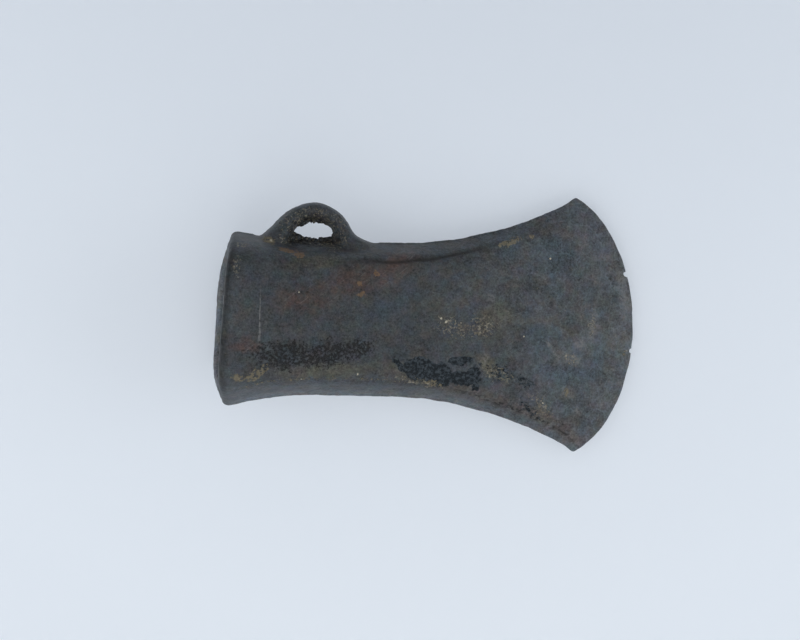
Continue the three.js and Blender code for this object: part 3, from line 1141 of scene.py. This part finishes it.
# ---------------------------------------------------------------------------------------------------
# What a user can change
# ---------------------------------------------------------------------------------------------------


def size_property(name, description, default, low=0.0, high=0.5):
    return bpy.props.FloatProperty(
        name=name, description=description, default=default, min=low, max=high, unit="LENGTH", precision=5
    )


def number_property(name, description, default, **rest):
    return bpy.props.FloatProperty(name=name, description=description, default=default, min=0.0, **rest)


def colour_property(name, description, default):
    return bpy.props.FloatVectorProperty(
        name=name, description=description, default=default, min=0.0, max=1.0, size=4, subtype="COLOR"
    )


class AxeSizes(bpy.types.PropertyGroup):
    """Sizes of the casting."""

    length: size_property("Length", "From the sides of the mouth to the cutting edge", 0.1025)
    mouth_width: size_property("Mouth Width", "Across the mouth of the socket", 0.0435)
    waist_width: size_property("Waist Width", "Across the narrowest part of the body", 0.0382)
    blade_width: size_property("Blade Width", "Across the tips of the blade", 0.064)
    mouth_depth: size_property("Mouth Depth", "Through the mouth from face to face", 0.0326)
    socket_depth: size_property("Socket Depth", "How far the hollow for the haft runs in", 0.062)
    wall: size_property("Wall", "Thickness of the metal round the socket", 0.0033)
    loop_radius: size_property("Loop Radius", "Outside of the cord loop from its middle", 0.0097)
    loop_bar_depth: size_property("Loop Bar Depth", "Through the bar of the loop at its crown", 0.0072)
    unevenness: number_property("Unevenness", "How uneven the surface is", 1.0, max=3.0, subtype="FACTOR")


class AxeFinish(bpy.types.PropertyGroup):
    """Colours of the patina and the soil, and of the painted shade and highlight."""

    patina: colour_property("Patina", "Most of the surface", (0.047, 0.0535, 0.060, 1.0))
    blue_patina: colour_property("Blue Patina", "Bluish zones", (0.037, 0.053, 0.069, 1.0))
    brown_patina: colour_property("Brown Patina", "Brownish mottling", (0.058, 0.050, 0.046, 1.0))
    red_patina: colour_property("Red Patina", "Coppery zone on the face", (0.072, 0.046, 0.040, 1.0))
    buff_stain: colour_property("Buff Stain", "Faint stains of soil", (0.090, 0.082, 0.058, 1.0))
    bared: colour_property("Bared Metal", "Where the crust has flaked off", (0.010, 0.014, 0.018, 1.0))
    # Also the colour of the painted shade on the line by the loop flank and in the eye.
    pit_dirt: colour_property("Pit Dirt", "In pits, in the crease and in the eye", (0.016, 0.015, 0.016, 1.0))
    grit: colour_property("Grit", "Single bright grains", (0.52, 0.48, 0.38, 1.0))
    # Also the colour of the painted highlight on the ridge inside the mouth.
    worn: colour_property("Worn Metal", "Scratches and rubbed ridges", (0.19, 0.19, 0.19, 1.0))
    soil: colour_property("Soil", "Soil held in the hollows", (0.22, 0.19, 0.13, 1.0))
    rusty_soil: colour_property("Rusty Soil", "Orange soil at the foot of the loop", (0.24, 0.13, 0.045, 1.0))
    # Colour inside the socket, darker than the patina.
    socket_dirt: colour_property("Socket Dirt", "Inside the socket", (0.030, 0.026, 0.020, 1.0))


class StageSettings(bpy.types.PropertyGroup):
    """The table, the light and the camera."""

    floor_size: size_property("Table Size", "Side of the table", 3.0, 0.1, 20.0)
    floor_colour: colour_property("Table Colour", "Milky sheet on the table", (0.44, 0.47, 0.51, 1.0))
    floor_milkiness: size_property("Table Milkiness", "How far light spreads in the sheet", 0.03, 0.0, 0.5)
    # Painted light: the sheet emits this light in front and behind, though no lamp is under it.
    near_glow: colour_property("Near Glow", "Light through the sheet in front", (0.395, 0.425, 0.465, 1.0))
    far_glow: colour_property("Far Glow", "Light through the sheet behind", (0.315, 0.342, 0.384, 1.0))
    room_colour: bpy.props.FloatVectorProperty(
        name="Room Colour",
        description="Colour of the light that comes from all round",
        default=(0.93, 0.97, 1.0),
        min=0.0,
        max=1.0,
        subtype="COLOR",
    )
    room_light: number_property("Room Light", "Strength of the light from all round", 0.40)
    key_light: number_property("Front Light", "Power of the soft lamp in front", 2.6, unit="POWER")
    side_light: number_property("Side Light", "Power of each lamp at the sides", 1.9, unit="POWER")
    camera_height: size_property("Camera Height", "Camera above the table", 0.48, 0.1, 5.0)
    lens: number_property("Lens", "Focal length of the camera", 84.6, unit="CAMERA")


class AXE_OT_casting(bpy.types.Operator):
    """Make the bronze casting with its socket and its cord loop"""

    bl_idname = "axe_head.casting"
    bl_label = "Make Casting"

    def execute(self, context):
        sizes = context.scene.axe_sizes
        material = patina_material(context.scene.axe_finish)
        values = labelled(sizes) | {"Material": material}
        piece = grown("axe_casting", casting_tree(sizes), values)
        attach(piece, BODY)
        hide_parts(CAD_NODE)
        return {"FINISHED"}


class AXE_OT_stage(bpy.types.Operator):
    """Make the table, the soft light and the camera"""

    bl_idname = "axe_head.stage"
    bl_label = "Make Stage"

    def execute(self, context):
        stage = context.scene.axe_stage
        make_floor(stage)
        make_sky(stage)
        make_light("front_softbox", (0.0, -0.6, 0.6), 0.8, stage.key_light, (1.0, 0.99, 0.97))
        make_light("left_softbox", (-0.7, 0.0, 0.35), 0.6, stage.side_light, (0.97, 0.99, 1.0))
        make_light("right_softbox", (0.7, 0.0, 0.35), 0.6, stage.side_light, (0.97, 0.99, 1.0))
        make_camera(stage)
        context.scene.view_settings.view_transform = "Standard"
        return {"FINISHED"}


class AXE_PT_panel(bpy.types.Panel):
    """Everything that makes the axe head"""

    bl_label = "Axe Head"
    bl_idname = "AXE_PT_panel"
    bl_space_type = "VIEW_3D"
    bl_region_type = "UI"
    bl_category = "Axe Head"

    def draw(self, context):
        for operator in OPERATORS:
            self.layout.operator(operator.bl_idname)
        for group in (context.scene.axe_sizes, context.scene.axe_finish, context.scene.axe_stage):
            box = self.layout.box()
            for name in group.__annotations__:
                box.prop(group, name)


OPERATORS = (AXE_OT_casting, AXE_OT_stage)
CLASSES = (AxeSizes, AxeFinish, StageSettings, *OPERATORS, AXE_PT_panel)


def register():
    for one in CLASSES:
        bpy.utils.register_class(one)
    bpy.types.Scene.axe_sizes = bpy.props.PointerProperty(type=AxeSizes)
    bpy.types.Scene.axe_finish = bpy.props.PointerProperty(type=AxeFinish)
    bpy.types.Scene.axe_stage = bpy.props.PointerProperty(type=StageSettings)


def unregister():
    del bpy.types.Scene.axe_stage
    del bpy.types.Scene.axe_finish
    del bpy.types.Scene.axe_sizes
    for one in reversed(CLASSES):
        bpy.utils.unregister_class(one)


def main():
    register()
    bpy.ops.axe_head.casting()
    bpy.ops.axe_head.stage()


if __name__ == "__main__":
    main()
